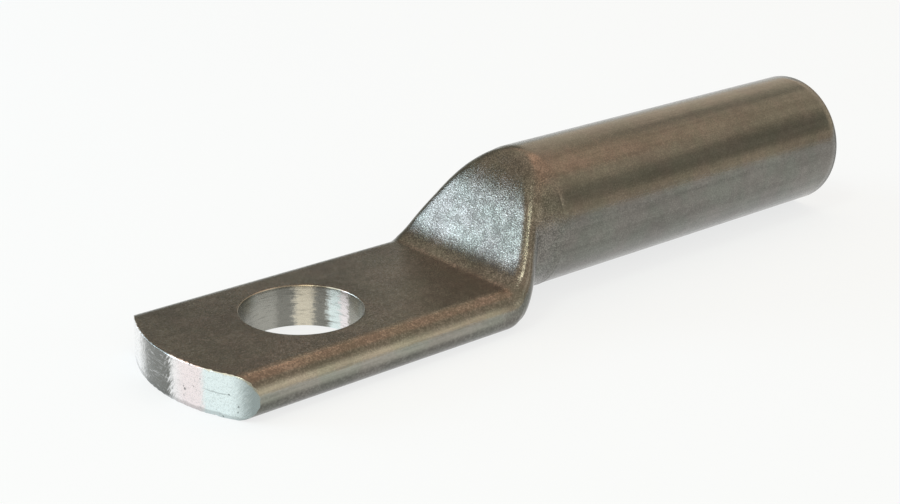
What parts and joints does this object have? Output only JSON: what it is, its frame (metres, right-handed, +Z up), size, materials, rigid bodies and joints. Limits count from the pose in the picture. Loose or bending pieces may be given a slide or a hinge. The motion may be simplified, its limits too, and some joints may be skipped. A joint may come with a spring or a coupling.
{
  "type": "tube cable lug",
  "caption": "Tin-plated tube cable lug: a round barrel for a crimped conductor, a sloping neck and a flat palm with a stud hole.",
  "frame": {"origin": "centre of the stud hole on the underside of the palm", "axes": "+X along the barrel towards its open mouth, +Z up through the stud hole, +Y across the palm"},
  "size_m": [0.097, 0.0228, 0.0165],
  "materials": {
    "tinned_metal": "satin tin plating over copper, finely mottled, brighter on the sheared front end and in the stud hole"
  },
  "bodies": {
    "root": {"tube_lug": "tinned_metal"}
  },
  "joints": []
}
